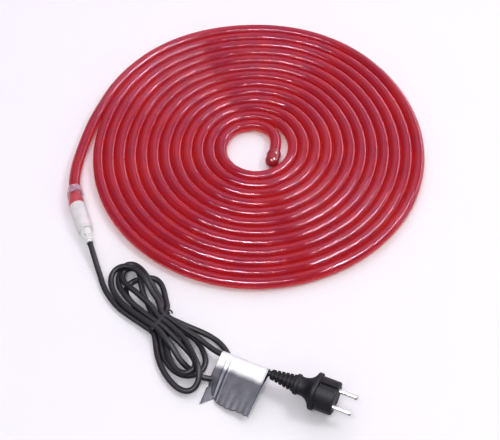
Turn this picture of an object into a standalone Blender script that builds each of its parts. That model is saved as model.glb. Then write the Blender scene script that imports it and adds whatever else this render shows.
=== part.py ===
"""Flat coil of red LED rope light with its mains lead, for Blender 4.5. Metres, +Z up.

The rope lies in one tight flat spiral. Its feed end leaves the outer turn and runs into a white
connector, from which a black lead goes through a tied hank to a round two-pin rubber plug.
"""
import bpy
import bmesh
from math import ceil, cos, pi, radians, sin
from mathutils import Matrix, Vector

OBJECT_NAME = "led_rope_light"

# Clearance between neighbouring pieces
GAP = 0.0003

# Boxes that cut slots and grooves: their thickness, and how far a cut runs past the face that it opens
CUTTER_THICKNESS = 0.0040
CUT_OVERRUN = 0.0010

# Rope and its coil
ROPE_RADIUS = 0.0065
TURNS = 12
TURN_PITCH = 0.0130
EYE_RADIUS = 0.0365
COIL_X = 0.0089
COIL_Y = 0.0
RIDGE_CROWN = 0.0050
VALLEY_DEPTH = 0.0034
SECTION_SIDE_SHARE = 0.42
COIL_STEPS = 44
ROPE_SIDES = 12

# Feed end of the rope: leaves the outer turn and ends in the connector
FEED_START_ANGLE = radians(128.0)
CONNECTOR_X = -0.1940
CONNECTOR_Y = -0.0570
CONNECTOR_HEADING = radians(-74.8)
CONNECTOR_LEAD_IN = 0.0020
SLEEVE_LENGTH = 0.0625
SLEEVE_RADIUS = 0.0095
SLEEVE_WALL = 0.0007
SLEEVE_MOUTH_WALL = 0.0009
SLEEVE_FLARE_START = 0.0030
SLEEVE_FLARE_END = 0.0130
BARREL_START = 0.0254
BARREL_SOCKET_DEPTH = 0.0080
BARREL_RIM = 0.0012
RELIEF_SEAT_DEPTH = 0.0020
RELIEF_LENGTH = 0.0200
RELIEF_BASE_RADIUS = 0.0064
RELIEF_TIP_RADIUS = 0.0040
RELIEF_SLOT_ROWS = 3
RELIEF_SLOT_LENGTH = 0.0016
RELIEF_SLOT_DEPTH = 0.0012
RELIEF_TAPER_START = 0.0020
RELIEF_SLOT_START = 0.0045
RELIEF_SLOT_END_MARGIN = 0.0040

# Inner end of the rope, in the eye of the coil
CAP_RADIUS = 0.0082
CAP_LENGTH = 0.0170
CAP_SOCKET_DEPTH = 0.0100
CAP_HEADING = radians(-102.0)
CAP_X = 0.0312
CAP_Y = -0.0105
INNER_START_ANGLE = radians(112.0)

# Mains lead
LEAD_RADIUS = 0.0030
LEAD_SIDES = 10
LEAD_STEP = 0.0125

# Hank of the lead and the tie round its waist
HANK_LIFT = 0.0013
HANK_HEIGHT = 0.0120
TIE_WIDTH = 0.0040
TIE_THICKNESS = 0.0010
NOTCH_DEPTH = 0.0200
NOTCH_CLEARANCE = 0.0010
WAIST_X = -0.0920
WAIST_Y = -0.2335
WAIST_HEADING = radians(-36.0)
WAIST_HALF_WIDTH = 0.0135
FEED_MEET = (-0.1290, -0.2193, radians(-42.0))
LOOP_OUT_MEET = (-0.0690, -0.2342, radians(-26.4))
LOOP_BACK_MEET = (-0.0445, -0.2984, radians(-12.0))
PLUG_MEET = (-0.0410, -0.2642, radians(-38.0))
MEET_HALF_WIDTH = 0.0034
TWIST_LENGTH = 0.0110
TWIST_THICKNESS = 0.0018

# Plug
PLUG_X = 0.0232
PLUG_Y = -0.3038
PLUG_HEADING = radians(-24.3)
PLUG_GRIP_RADIUS = 0.0195
PLUG_FACE_RADIUS = 0.0172
PLUG_GRIP_START = 0.0460
PLUG_GRIP_LENGTH = 0.0050
PLUG_LENGTH = 0.0704
PLUG_TIP_RADIUS = 0.0046
PLUG_COLLAR_RADIUS = 0.0107
PLUG_COLLAR_START = 0.0265
PLUG_COLLAR_LENGTH = 0.0045
PLUG_NECK_RADIUS = 0.0092
PLUG_NECK_END = 0.0380
PLUG_CHAMFER = 0.0012
PLUG_RIBS = 6
PLUG_RIB_SHARE = 0.70
PLUG_RIB_DEPTH = 0.0009
PLUG_RIB_CHAMFER = 0.0008
PLUG_RIB_BELOW_COLLAR = 0.0018
PLUG_BORE_DEPTH = 0.0060
PLUG_BORE_CLEARANCE = 0.0004
PLUG_LEAD_IN = 0.0020
GROOVE_WIDTH = 0.0080
GROOVE_DEPTH = 0.0028
PIN_RADIUS = 0.0024
PIN_SPACING = 0.0190
PIN_LENGTH = 0.0190
PIN_SOCKET_DEPTH = 0.0060
PIN_TIP_LENGTH = 0.0020

# Foil label folded over the lead just before the plug
LABEL_WIDTH = 0.0470
LABEL_MIDDLE_X = -0.0018
LABEL_MIDDLE_Y = -0.2894
LABEL_MIDDLE_Z = 0.0150
LABEL_HEADING = radians(-29.0)
LABEL_RISE = radians(8.0)
LABEL_BORE_RADIUS = 0.0038
LABEL_PLY = 0.0005


def clear_scene():
    """Remove the objects of the open scene."""
    for item in list(bpy.data.objects):
        bpy.data.objects.remove(item, do_unlink=True)


def new_collection(name):
    group = bpy.data.collections.new(name)
    bpy.context.scene.collection.children.link(group)
    return group


def new_material(name, colour, roughness, metallic=0.0, alpha=1.0):
    """Principled material with a plain colour."""
    material = bpy.data.materials.new(name)
    material.use_nodes = True
    shader = material.node_tree.nodes["Principled BSDF"]
    shader.inputs["Base Color"].default_value = (*colour, 1.0)
    shader.inputs["Roughness"].default_value = roughness
    shader.inputs["Metallic"].default_value = metallic
    shader.inputs["Alpha"].default_value = alpha
    return material


def mark_as_cutter(item):
    item.hide_render = True
    item.display_type = "WIRE"


def place_along(x, y, z, heading, rise=0.0):
    """Matrix that lays local +Z along a heading, with local +Y up and local +X to its left."""
    forward = Vector((cos(heading) * cos(rise), sin(heading) * cos(rise), sin(rise)))
    across = Vector((-sin(heading), cos(heading), 0.0))
    upward = forward.cross(across)
    turn = Matrix((across, upward, forward)).transposed().to_4x4()
    return Matrix.Translation((x, y, z)) @ turn


def turned(name, profile, steps, group, material=None, matrix=None):
    """Solid turned about local Z from a closed profile of (radius, height) points, outer side first."""
    mesh = bpy.data.meshes.new(name)
    points = [(radius, 0.0, height) for radius, height in profile]
    on_axis = profile[0][0] == 0.0 and profile[-1][0] == 0.0
    edges = [(i, i + 1) for i in range(len(points) - 1)]
    if not on_axis:
        edges.append((len(points) - 1, 0))
    mesh.from_pydata(points, edges, [])
    item = bpy.data.objects.new(name, mesh)
    group.objects.link(item)
    screw = item.modifiers.new("turn", "SCREW")
    screw.axis = "Z"
    screw.steps = steps
    screw.render_steps = steps
    screw.use_merge_vertices = True
    screw.merge_threshold = 0.00001
    if matrix is not None:
        item.matrix_world = matrix
    if material is not None:
        mesh.materials.append(material)
    return item


def frozen(item, name, group):
    """Mesh object with the evaluated shape of a curve or modified object, its caps welded."""
    bpy.context.view_layer.update()
    evaluated = item.evaluated_get(bpy.context.evaluated_depsgraph_get())
    mesh = bpy.data.meshes.new_from_object(evaluated)
    mesh.name = name
    work = bmesh.new()
    work.from_mesh(mesh)
    bmesh.ops.remove_doubles(work, verts=work.verts, dist=0.00001)
    bmesh.ops.recalc_face_normals(work, faces=work.faces)
    work.to_mesh(mesh)
    work.free()
    result = bpy.data.objects.new(name, mesh)
    result.matrix_world = item.matrix_world.copy()
    group.objects.link(result)
    bpy.data.objects.remove(item, do_unlink=True)
    return result


def combine(target, other, operation):
    """Boolean modifier that joins another mesh object to the target or cuts it away."""
    modifier = target.modifiers.new(other.name, "BOOLEAN")
    modifier.operation = operation
    modifier.object = other
    modifier.solver = "EXACT"
    mark_as_cutter(other)


def smooth_route(route, step):
    """Even points along the Catmull-Rom curve through a route's own points."""
    points = [Vector(p) for p in route]
    ends = [points[0] * 2 - points[1]] + points + [points[-1] * 2 - points[-2]]
    fine = []
    per_span = 16
    for before, start, end, after in zip(ends, ends[1:], ends[2:], ends[3:]):
        for k in range(per_span):
            t = k / per_span
            fine.append(0.5 * (2 * start + (end - before) * t
                               + (2 * before - 5 * start + 4 * end - after) * t ** 2
                               + (3 * start - before - 3 * end + after) * t ** 3))
    fine.append(points[-1])
    lengths = [0.0]
    for here, there in zip(fine, fine[1:]):
        lengths.append(lengths[-1] + (there - here).length)
    count = max(2, ceil(lengths[-1] / step))
    even = []
    i = 0
    for k in range(count + 1):
        wanted = lengths[-1] * k / count
        while i < len(fine) - 2 and lengths[i + 1] < wanted:
            i += 1
        share = (wanted - lengths[i]) / (lengths[i + 1] - lengths[i])
        even.append(fine[i].lerp(fine[i + 1], min(1.0, share)))
    return even


def tube(name, points, radius, sides, group, material=None):
    """Round tube along points, as a curve with a bevel and filled caps."""
    curve = bpy.data.curves.new(name, "CURVE")
    curve.dimensions = "3D"
    curve.bevel_depth = radius
    curve.bevel_resolution = sides // 2 - 2
    curve.use_fill_caps = True
    spline = curve.splines.new("POLY")
    spline.points.add(len(points) - 1)
    for target, point in zip(spline.points, points):
        target.co = (*point, 1.0)
    item = bpy.data.objects.new(name, curve)
    group.objects.link(item)
    if material is not None:
        curve.materials.append(material)
    return item


def flat_piece(name, outlines, thickness, group, material=None):
    """Plate from closed 2D outlines in local XY, holes included, centred on local Z = 0."""
    curve = bpy.data.curves.new(name, "CURVE")
    curve.dimensions = "2D"
    curve.fill_mode = "BOTH"
    curve.extrude = thickness / 2
    for outline in outlines:
        spline = curve.splines.new("POLY")
        spline.points.add(len(outline) - 1)
        for target, (x, y) in zip(spline.points, outline):
            target.co = (x, y, 0.0, 1.0)
        spline.use_cyclic_u = True
    item = bpy.data.objects.new(name, curve)
    group.objects.link(item)
    if material is not None:
        curve.materials.append(material)
    return item


def box(name, size, matrix, group):
    """Box mesh of a size, placed by a matrix."""
    mesh = bpy.data.meshes.new(name)
    work = bmesh.new()
    bmesh.ops.create_cube(work, size=1.0)
    bmesh.ops.scale(work, vec=size, verts=work.verts)
    work.to_mesh(mesh)
    work.free()
    item = bpy.data.objects.new(name, mesh)
    item.matrix_world = matrix
    group.objects.link(item)
    return item


def cylinder(name, radius, length, matrix, group, sides=16):
    """Cylinder mesh along local +Z, starting at the matrix's origin."""
    mesh = bpy.data.meshes.new(name)
    work = bmesh.new()
    bmesh.ops.create_cone(work, cap_ends=True, segments=sides, radius1=radius, radius2=radius,
                          depth=length, matrix=Matrix.Translation((0, 0, length / 2)))
    work.to_mesh(mesh)
    work.free()
    item = bpy.data.objects.new(name, mesh)
    item.matrix_world = matrix
    group.objects.link(item)
    return item


def along(x, y, heading, distance):
    """Plan point at a distance along a heading."""
    return x + cos(heading) * distance, y + sin(heading) * distance


def meeting_point(meet, distance, height):
    """Point of a lead's route at a distance outside the hank's face that it meets."""
    x, y, heading = meet
    return (*along(x, y, heading, distance), height)


def meeting_face(meet):
    """The two corners of the hank's outline where a lead meets it squarely."""
    x, y, heading = meet
    return [along(x, y, heading + pi / 2, MEET_HALF_WIDTH), along(x, y, heading - pi / 2, MEET_HALF_WIDTH)]


def coil_profile():
    """Closed profile of the coil's ring: a crown for each turn on top and underneath."""
    height = 2 * ROPE_RADIUS
    half_crown = RIDGE_CROWN / 2
    centres = [EYE_RADIUS + ROPE_RADIUS + TURN_PITCH * k for k in range(TURNS)]
    outer = centres[-1] + ROPE_RADIUS
    top = []
    bottom = []
    for k, centre in enumerate(centres):
        top += [(centre - half_crown, height), (centre + half_crown, height)]
        bottom += [(centre - half_crown, 0.0), (centre + half_crown, 0.0)]
        if k < TURNS - 1:
            valley = centre + TURN_PITCH / 2
            top.append((valley, height - VALLEY_DEPTH))
            bottom.append((valley, VALLEY_DEPTH))
    side = ROPE_RADIUS * SECTION_SIDE_SHARE
    outer_side = [(outer, ROPE_RADIUS + side), (outer, ROPE_RADIUS - side)]
    inner_side = [(EYE_RADIUS, ROPE_RADIUS - side), (EYE_RADIUS, ROPE_RADIUS + side)]
    return outer_side + bottom[::-1] + inner_side + top


def feed_end_points():
    """Route of the rope from inside the outer turn, then straight into the connector's socket."""
    ridge = EYE_RADIUS + ROPE_RADIUS + TURN_PITCH * (TURNS - 1)
    start = (COIL_X + ridge * cos(FEED_START_ANGLE), COIL_Y + ridge * sin(FEED_START_ANGLE))
    lead_in = along(CONNECTOR_X, CONNECTOR_Y, CONNECTOR_HEADING, -CONNECTOR_LEAD_IN)
    stop = along(CONNECTOR_X, CONNECTOR_Y, CONNECTOR_HEADING, BARREL_START + BARREL_SOCKET_DEPTH - GAP)
    level = ROPE_RADIUS + 0.00005
    axis = SLEEVE_RADIUS
    route = [
        (start[0], start[1], level),
        (-0.1285, 0.1255, level),
        (-0.1510, 0.0992, level),
        (-0.1684, 0.0692, level),
        (-0.1811, 0.0366, level + 0.0001),
        (-0.1894, 0.0020, level + 0.0004),
        (-0.1929, -0.0250, level + 0.0016),
        (lead_in[0], lead_in[1], axis),
    ]
    return smooth_route(route, 3 * ROPE_RADIUS) + [Vector((stop[0], stop[1], axis))]


def inner_end_points():
    """Route of the rope from inside the innermost turn to the end cap's socket."""
    ridge = EYE_RADIUS + ROPE_RADIUS
    start = (COIL_X + ridge * cos(INNER_START_ANGLE), COIL_Y + ridge * sin(INNER_START_ANGLE))
    stop = along(CAP_X, CAP_Y, CAP_HEADING, CAP_SOCKET_DEPTH - GAP)
    route = [
        (start[0], start[1], ROPE_RADIUS),
        (0.0118, 0.0355, ROPE_RADIUS),
        (0.0258, 0.0265, ROPE_RADIUS),
        (0.0332, 0.0130, ROPE_RADIUS + 0.0006),
        (CAP_X, CAP_Y, CAP_RADIUS),
        (stop[0], stop[1], CAP_RADIUS),
    ]
    return smooth_route(route, 1.6 * ROPE_RADIUS)


def make_rope(group, cutters, material):
    """The whole rope as one solid: the ring of its turns with the feed end and the inner end."""
    coil = turned("rope_light", coil_profile(), COIL_STEPS, group, material,
                  Matrix.Translation((COIL_X, COIL_Y, 0.0)))
    for name, points in (("rope_feed_end", feed_end_points()), ("rope_inner_end", inner_end_points())):
        end = frozen(tube(name, points, ROPE_RADIUS, ROPE_SIDES, cutters), name, cutters)
        combine(coil, end, "UNION")
    return coil


def make_end_cap(group, material):
    """Cap with a rounded end, pushed over the rope's inner end."""
    bore = ROPE_RADIUS + GAP
    dome = [(CAP_RADIUS * cos(a), CAP_LENGTH - CAP_RADIUS + CAP_RADIUS * sin(a))
            for a in (radians(d) for d in (75, 60, 45, 30, 15, 0))]
    profile = [(0.0, CAP_LENGTH)] + dome + [(CAP_RADIUS, 0.0), (bore, 0.0),
                                            (bore, CAP_SOCKET_DEPTH), (0.0, CAP_SOCKET_DEPTH)]
    return turned("end_cap", profile, 24, group, material,
                  place_along(CAP_X, CAP_Y, CAP_RADIUS, CAP_HEADING))


def make_connector(group, cutters, white, clear):
    """White barrel and strain relief inside a clear shrink sleeve."""
    matrix = place_along(CONNECTOR_X, CONNECTOR_Y, SLEEVE_RADIUS, CONNECTOR_HEADING)
    rope_bore = ROPE_RADIUS + GAP
    barrel_bore = SLEEVE_RADIUS - SLEEVE_WALL
    barrel = barrel_bore - GAP
    sleeve_profile = [
        (rope_bore + SLEEVE_MOUTH_WALL, 0.0),
        (rope_bore, 0.0),
        (rope_bore, SLEEVE_FLARE_START),
        (barrel_bore, SLEEVE_FLARE_END),
        (barrel_bore, SLEEVE_LENGTH),
        (SLEEVE_RADIUS, SLEEVE_LENGTH),
        (SLEEVE_RADIUS, SLEEVE_FLARE_END),
        (rope_bore + SLEEVE_MOUTH_WALL, SLEEVE_FLARE_START),
    ]
    turned("clear_sleeve", sleeve_profile, 32, group, clear, matrix)

    relief_start = SLEEVE_LENGTH - RELIEF_SEAT_DEPTH
    seat = RELIEF_BASE_RADIUS + GAP
    barrel_profile = [
        (0.0, relief_start - GAP),
        (seat, relief_start - GAP),
        (seat, SLEEVE_LENGTH),
        (barrel - BARREL_RIM, SLEEVE_LENGTH),
        (barrel, SLEEVE_LENGTH - BARREL_RIM),
        (barrel, BARREL_START + BARREL_RIM),
        (barrel - BARREL_RIM, BARREL_START),
        (rope_bore, BARREL_START),
        (rope_bore, BARREL_START + BARREL_SOCKET_DEPTH),
        (0.0, BARREL_START + BARREL_SOCKET_DEPTH),
    ]
    turned("connector_barrel", barrel_profile, 32, group, white, matrix)

    relief_end = relief_start + RELIEF_LENGTH
    relief_profile = [
        (0.0, relief_end),
        (RELIEF_TIP_RADIUS, relief_end),
        (RELIEF_BASE_RADIUS, SLEEVE_LENGTH + RELIEF_TAPER_START),
        (RELIEF_BASE_RADIUS, relief_start),
        (0.0, relief_start),
    ]
    relief = turned("strain_relief", relief_profile, 24, group, white, matrix)
    row_pitch = (relief_end - SLEEVE_LENGTH - RELIEF_SLOT_END_MARGIN) / RELIEF_SLOT_ROWS
    for row in range(RELIEF_SLOT_ROWS):
        middle = SLEEVE_LENGTH + RELIEF_SLOT_START + row_pitch * row
        taper = (middle - SLEEVE_LENGTH) / (relief_end - SLEEVE_LENGTH)
        surface = RELIEF_BASE_RADIUS + (RELIEF_TIP_RADIUS - RELIEF_BASE_RADIUS) * taper
        turn = pi / 2 if row % 2 else 0.0
        for side in (-1, 1):
            away = surface + CUTTER_THICKNESS / 2 - RELIEF_SLOT_DEPTH
            slot_place = (matrix @ Matrix.Translation((0, 0, middle)) @ Matrix.Rotation(turn, 4, "Z")
                          @ Matrix.Translation((0, side * away, 0)))
            slot = box(f"relief_slot_{row}_{'ab'[side > 0]}",
                       (2 * (surface + CUT_OVERRUN), CUTTER_THICKNESS, RELIEF_SLOT_LENGTH), slot_place, cutters)
            combine(relief, slot, "DIFFERENCE")
    return relief_end


def plug_profile():
    """Profile of the rubber plug from its face back along the ribbed strain relief."""
    grip_end = PLUG_GRIP_START + PLUG_GRIP_LENGTH
    profile = [
        (0.0, PLUG_LENGTH),
        (PLUG_FACE_RADIUS - PLUG_CHAMFER, PLUG_LENGTH),
        (PLUG_FACE_RADIUS, PLUG_LENGTH - PLUG_CHAMFER),
        (PLUG_FACE_RADIUS, grip_end),
        (PLUG_GRIP_RADIUS - PLUG_CHAMFER, grip_end),
        (PLUG_GRIP_RADIUS, grip_end - PLUG_CHAMFER),
        (PLUG_GRIP_RADIUS, PLUG_GRIP_START + PLUG_CHAMFER),
        (PLUG_GRIP_RADIUS - PLUG_CHAMFER, PLUG_GRIP_START),
        (PLUG_NECK_RADIUS, PLUG_NECK_END),
        (PLUG_NECK_RADIUS, PLUG_COLLAR_START + PLUG_COLLAR_LENGTH),
        (PLUG_COLLAR_RADIUS, PLUG_COLLAR_START + PLUG_COLLAR_LENGTH),
        (PLUG_COLLAR_RADIUS, PLUG_COLLAR_START),
    ]
    rib_pitch = PLUG_COLLAR_START / PLUG_RIBS
    half_groove = (1.0 - PLUG_RIB_SHARE) / 2 * rib_pitch
    largest = PLUG_COLLAR_RADIUS - PLUG_RIB_BELOW_COLLAR
    for rib in reversed(range(PLUG_RIBS)):
        top = (rib + 1) * rib_pitch - half_groove
        base = rib * rib_pitch + half_groove
        share = (rib + 0.5) / PLUG_RIBS
        radius = PLUG_TIP_RADIUS + (largest - PLUG_TIP_RADIUS) * share
        profile += [(radius - PLUG_RIB_DEPTH, top), (radius, top - PLUG_RIB_CHAMFER),
                    (radius, base + PLUG_RIB_CHAMFER), (radius - PLUG_RIB_DEPTH, base)]
    bore = LEAD_RADIUS + PLUG_BORE_CLEARANCE
    profile += [(bore, half_groove), (bore, PLUG_BORE_DEPTH), (0.0, PLUG_BORE_DEPTH)]
    return profile


def make_plug(group, cutters, rubber, metal):
    """Rubber plug body with side grooves, and its two pins seated in its face."""
    matrix = place_along(PLUG_X, PLUG_Y, PLUG_GRIP_RADIUS, PLUG_HEADING)
    body = turned("plug_body", plug_profile(), 32, group, rubber, matrix)
    groove_start = PLUG_GRIP_START + PLUG_GRIP_LENGTH
    groove_length = PLUG_LENGTH - groove_start + CUT_OVERRUN
    for side in (-1, 1):
        middle = Matrix.Translation((0, side * (PLUG_FACE_RADIUS - GROOVE_DEPTH + CUTTER_THICKNESS / 2),
                                     groove_start + groove_length / 2))
        groove = box(f"plug_groove_{'ab'[side > 0]}", (GROOVE_WIDTH, CUTTER_THICKNESS, groove_length),
                     matrix @ middle, cutters)
        combine(body, groove, "DIFFERENCE")
    for number, side in ((1, -1), (2, 1)):
        across = Matrix.Translation((side * PIN_SPACING / 2, 0, 0))
        base = Matrix.Translation((0, 0, PLUG_LENGTH - PIN_SOCKET_DEPTH))
        hole = cylinder(f"pin_hole_{number}", PIN_RADIUS + GAP, PIN_SOCKET_DEPTH + CUT_OVERRUN,
                        matrix @ across @ base, cutters)
        combine(body, hole, "DIFFERENCE")
        end = PIN_SOCKET_DEPTH + PIN_LENGTH
        pin_profile = [
            (0.0, end),
            (PIN_RADIUS * 0.45, end),
            (PIN_RADIUS * 0.85, end - PIN_TIP_LENGTH * 0.35),
            (PIN_RADIUS, end - PIN_TIP_LENGTH),
            (PIN_RADIUS, GAP),
            (0.0, GAP),
        ]
        turned(f"plug_pin_{number}", pin_profile, 16, group, metal, matrix @ across @ base)


def lead_feed_points(relief_end):
    """Route of the lead from the connector's strain relief to the hank."""
    exit_x, exit_y = along(CONNECTOR_X, CONNECTOR_Y, CONNECTOR_HEADING, relief_end + GAP)
    near_x, near_y = along(exit_x, exit_y, CONNECTOR_HEADING, 0.012)
    level = LEAD_RADIUS
    route = [
        (exit_x, exit_y, SLEEVE_RADIUS),
        (near_x, near_y, 0.0083),
        (-0.1616, -0.1600, 0.0052),
        (-0.1572, -0.1730, level + 0.0003),
        (-0.1530, -0.1868, level),
        (-0.1441, -0.2023, level),
        meeting_point(FEED_MEET, -0.0070, level + HANK_LIFT),
        meeting_point(FEED_MEET, -GAP, level + HANK_LIFT),
    ]
    return smooth_route(route, LEAD_STEP)


def lead_loop_points():
    """Route of the loose loop that leaves the waist, passes under the label and comes back."""
    level = LEAD_RADIUS
    route = [
        meeting_point(LOOP_OUT_MEET, GAP, level + HANK_LIFT),
        meeting_point(LOOP_OUT_MEET, 0.0070, level + HANK_LIFT),
        (-0.0433, -0.2464, level),
        (-0.0294, -0.2568, level),
        (-0.0205, -0.2698, level),
        (-0.0178, -0.2815, level),
        (-0.0203, -0.2925, level),
        (-0.0270, -0.2992, level),
        meeting_point(LOOP_BACK_MEET, 0.0070, level + HANK_LIFT),
        meeting_point(LOOP_BACK_MEET, GAP, level + HANK_LIFT),
    ]
    return smooth_route(route, LEAD_STEP)


def plug_lead_points():
    """Route of the lead from the hank through the label's fold into the plug."""
    far_x, far_y = along(PLUG_X, PLUG_Y, PLUG_HEADING, PLUG_BORE_DEPTH - GAP)
    near_x, near_y = along(PLUG_X, PLUG_Y, PLUG_HEADING, -PLUG_LEAD_IN)
    in_fold = []
    for share in (-0.64, -0.45, -0.23, 0.0, 0.25, 0.48):
        distance = LABEL_WIDTH * share
        x, y = along(LABEL_MIDDLE_X, LABEL_MIDDLE_Y, LABEL_HEADING, distance * cos(LABEL_RISE))
        in_fold.append((x, y, LABEL_MIDDLE_Z + distance * sin(LABEL_RISE)))
    route = [meeting_point(PLUG_MEET, GAP, 0.0100), meeting_point(PLUG_MEET, 0.0060, 0.0100)] + in_fold + [
        (near_x, near_y, PLUG_GRIP_RADIUS),
        (far_x, far_y, PLUG_GRIP_RADIUS),
    ]
    return smooth_route(route, LEAD_STEP * 0.6)


def hank_outline():
    """Outline of the tied hank in plan: two lobes with a waist, and a face where each lead meets it."""
    upper_lobe = [
        (-0.1315, -0.2110), (-0.1436, -0.1960), (-0.1480, -0.1870), (-0.1487, -0.1780),
        (-0.1470, -0.1690), (-0.1425, -0.1620), (-0.1360, -0.1578), (-0.1296, -0.1565),
        (-0.1220, -0.1580), (-0.1165, -0.1610), (-0.1080, -0.1705), (-0.0970, -0.1718),
        (-0.0915, -0.1755), (-0.0870, -0.1825), (-0.0814, -0.1965), (-0.0808, -0.2080),
        (-0.0820, -0.2230),
    ]
    lower_lobe_side = [(-0.0500, -0.2535)]
    lower_lobe_right = [(-0.0379, -0.2825)]
    lower_lobe = [
        (-0.0470, -0.3095), (-0.0520, -0.3175), (-0.0590, -0.3203), (-0.0680, -0.3175),
        (-0.0750, -0.3115), (-0.0860, -0.2935), (-0.0943, -0.2715), (-0.0980, -0.2490),
        (-0.1010, -0.2450), (-0.1170, -0.2325),
    ]
    feed_face = meeting_face(FEED_MEET)[::-1]
    return (feed_face + upper_lobe + meeting_face(LOOP_OUT_MEET) + lower_lobe_side
            + meeting_face(PLUG_MEET) + lower_lobe_right + meeting_face(LOOP_BACK_MEET) + lower_lobe)


def make_lead(group, relief_end, rubber):
    """The lead's three free stretches and the solid of its tied hank."""
    runs = (
        ("lead_from_connector", lead_feed_points(relief_end)),
        ("lead_outer_loop", lead_loop_points()),
        ("lead_to_plug", plug_lead_points()),
    )
    for name, points in runs:
        tube(name, points, LEAD_RADIUS, LEAD_SIDES, group, rubber)
    hank = flat_piece("lead_hank_outline", [hank_outline()], HANK_HEIGHT, group, rubber)
    hank.location = (0.0, 0.0, HANK_LIFT + HANK_HEIGHT / 2)
    return frozen(hank, "lead_hank", group)


def make_tie(group, cutters, hank, plastic):
    """Wire tie round the hank's waist, with its two ends twisted together at one side."""
    half = WAIST_HALF_WIDTH + GAP
    low = HANK_LIFT - GAP
    high = HANK_LIFT + HANK_HEIGHT + GAP
    band = TIE_THICKNESS
    middle = (low + high) / 2
    twist = TWIST_THICKNESS / 2
    hole = [(-half, low), (half, low), (half, high), (-half, high)]
    outer = [
        (-half - band, low - band), (half + band, low - band), (half + band, middle - twist),
        (half + band + TWIST_LENGTH, middle - twist), (half + band + TWIST_LENGTH, middle + twist),
        (half + band, middle + twist), (half + band, high + band), (-half - band, high + band),
    ]
    tie = flat_piece("twist_tie", [outer, hole], TIE_WIDTH, group, plastic)
    tie.matrix_world = place_along(WAIST_X, WAIST_Y, 0.0, WAIST_HEADING)

    for side in (-1, 1):
        notch_place = (place_along(WAIST_X, WAIST_Y, HANK_LIFT + HANK_HEIGHT / 2, WAIST_HEADING)
                       @ Matrix.Translation((side * (WAIST_HALF_WIDTH + NOTCH_DEPTH / 2), 0, 0)))
        notch_size = (NOTCH_DEPTH, HANK_HEIGHT + 2 * CUT_OVERRUN, TIE_WIDTH + 2 * NOTCH_CLEARANCE)
        notch = box(f"waist_notch_{'ab'[side > 0]}", notch_size, notch_place, cutters)
        combine(hank, notch, "DIFFERENCE")
    return tie


def make_label(group, foil):
    """Foil label folded round the lead, its two plies stuck together and hanging to the ground."""
    bore = LABEL_BORE_RADIUS
    out = bore + LABEL_PLY
    fold = [radians(degrees) for degrees in range(130, -91, -20)]
    hole = [(bore * cos(a), bore * sin(a)) for a in fold] + [(-0.0105, -0.0028)]
    outer = [(out * cos(a), out * sin(a)) for a in fold]
    outer += [(-0.0110, -out), (-0.0280, -0.0047), (-0.0480, -0.0114), (-0.0477, -0.0105),
              (-0.0280, -0.0037), (-0.0120, -0.0026)]
    label = flat_piece("foil_label", [outer, hole], LABEL_WIDTH, group, foil)
    label.matrix_world = place_along(LABEL_MIDDLE_X, LABEL_MIDDLE_Y, LABEL_MIDDLE_Z,
                                     LABEL_HEADING, LABEL_RISE)
    return label


def main():
    clear_scene()
    group = new_collection(OBJECT_NAME)
    cutters = new_collection("cutters")
    red = new_material("red_rope_pvc", (0.52, 0.015, 0.025), 0.25)
    cap_red = new_material("cap_pvc", (0.62, 0.05, 0.07), 0.2)
    clear = new_material("clear_shrink_sleeve", (0.90, 0.88, 0.90), 0.15, alpha=0.3)
    white = new_material("white_connector_plastic", (0.86, 0.86, 0.84), 0.4)
    rubber = new_material("black_lead_rubber", (0.02, 0.02, 0.022), 0.5)
    plug_rubber = new_material("black_plug_rubber", (0.016, 0.016, 0.018), 0.6)
    plated = new_material("plated_pins", (0.75, 0.74, 0.72), 0.2, metallic=1.0)
    foil = new_material("silver_label_foil", (0.66, 0.66, 0.68), 0.35, metallic=0.8)
    tie_plastic = new_material("black_tie_plastic", (0.015, 0.015, 0.015), 0.35)

    make_rope(group, cutters, red)
    make_end_cap(group, cap_red)
    relief_end = make_connector(group, cutters, white, clear)
    hank = make_lead(group, relief_end, rubber)
    make_tie(group, cutters, hank, tie_plastic)
    make_label(group, foil)
    make_plug(group, cutters, plug_rubber, plated)


main()
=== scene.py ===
"""Looks of a flat coil of red LED rope light and its tied mains lead, for Blender 4.5. Metres, +Z up.

The shared shapes and finishes come first, then the camera and light, the rope with its cap, the lead, the
connector, the lead's tie, label and plug, and the floor.
"""
from math import cos, pi, radians, sin, tau

import bpy
import numpy as np
from mathutils import Matrix, Vector


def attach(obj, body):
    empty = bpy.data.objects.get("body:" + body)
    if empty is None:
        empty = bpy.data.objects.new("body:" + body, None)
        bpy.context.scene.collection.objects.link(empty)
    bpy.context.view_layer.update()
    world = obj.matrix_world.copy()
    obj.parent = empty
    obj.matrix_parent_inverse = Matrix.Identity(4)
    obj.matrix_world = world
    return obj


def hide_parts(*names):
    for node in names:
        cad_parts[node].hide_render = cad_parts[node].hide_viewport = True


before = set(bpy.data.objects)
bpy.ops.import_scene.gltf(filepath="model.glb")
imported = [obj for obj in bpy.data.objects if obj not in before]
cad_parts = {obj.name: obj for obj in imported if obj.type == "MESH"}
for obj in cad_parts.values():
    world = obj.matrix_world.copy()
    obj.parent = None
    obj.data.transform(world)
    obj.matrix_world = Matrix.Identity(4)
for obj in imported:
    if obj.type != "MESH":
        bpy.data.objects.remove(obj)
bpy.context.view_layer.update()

# Camera of the photograph, and the point that the lamps face
CAMERA_PLACE = (0.0039, -0.9208, 1.1237)
CAMERA_TILT = radians(36.22)
CAMERA_ROLL = radians(-0.64)
FOCAL_LENGTH = 90.2
SENSOR_WIDTH = 36.0
LIT_POINT = Vector((0.0, -0.06, 0.0))
WHITE = (1.0, 1.0, 1.0)

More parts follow.
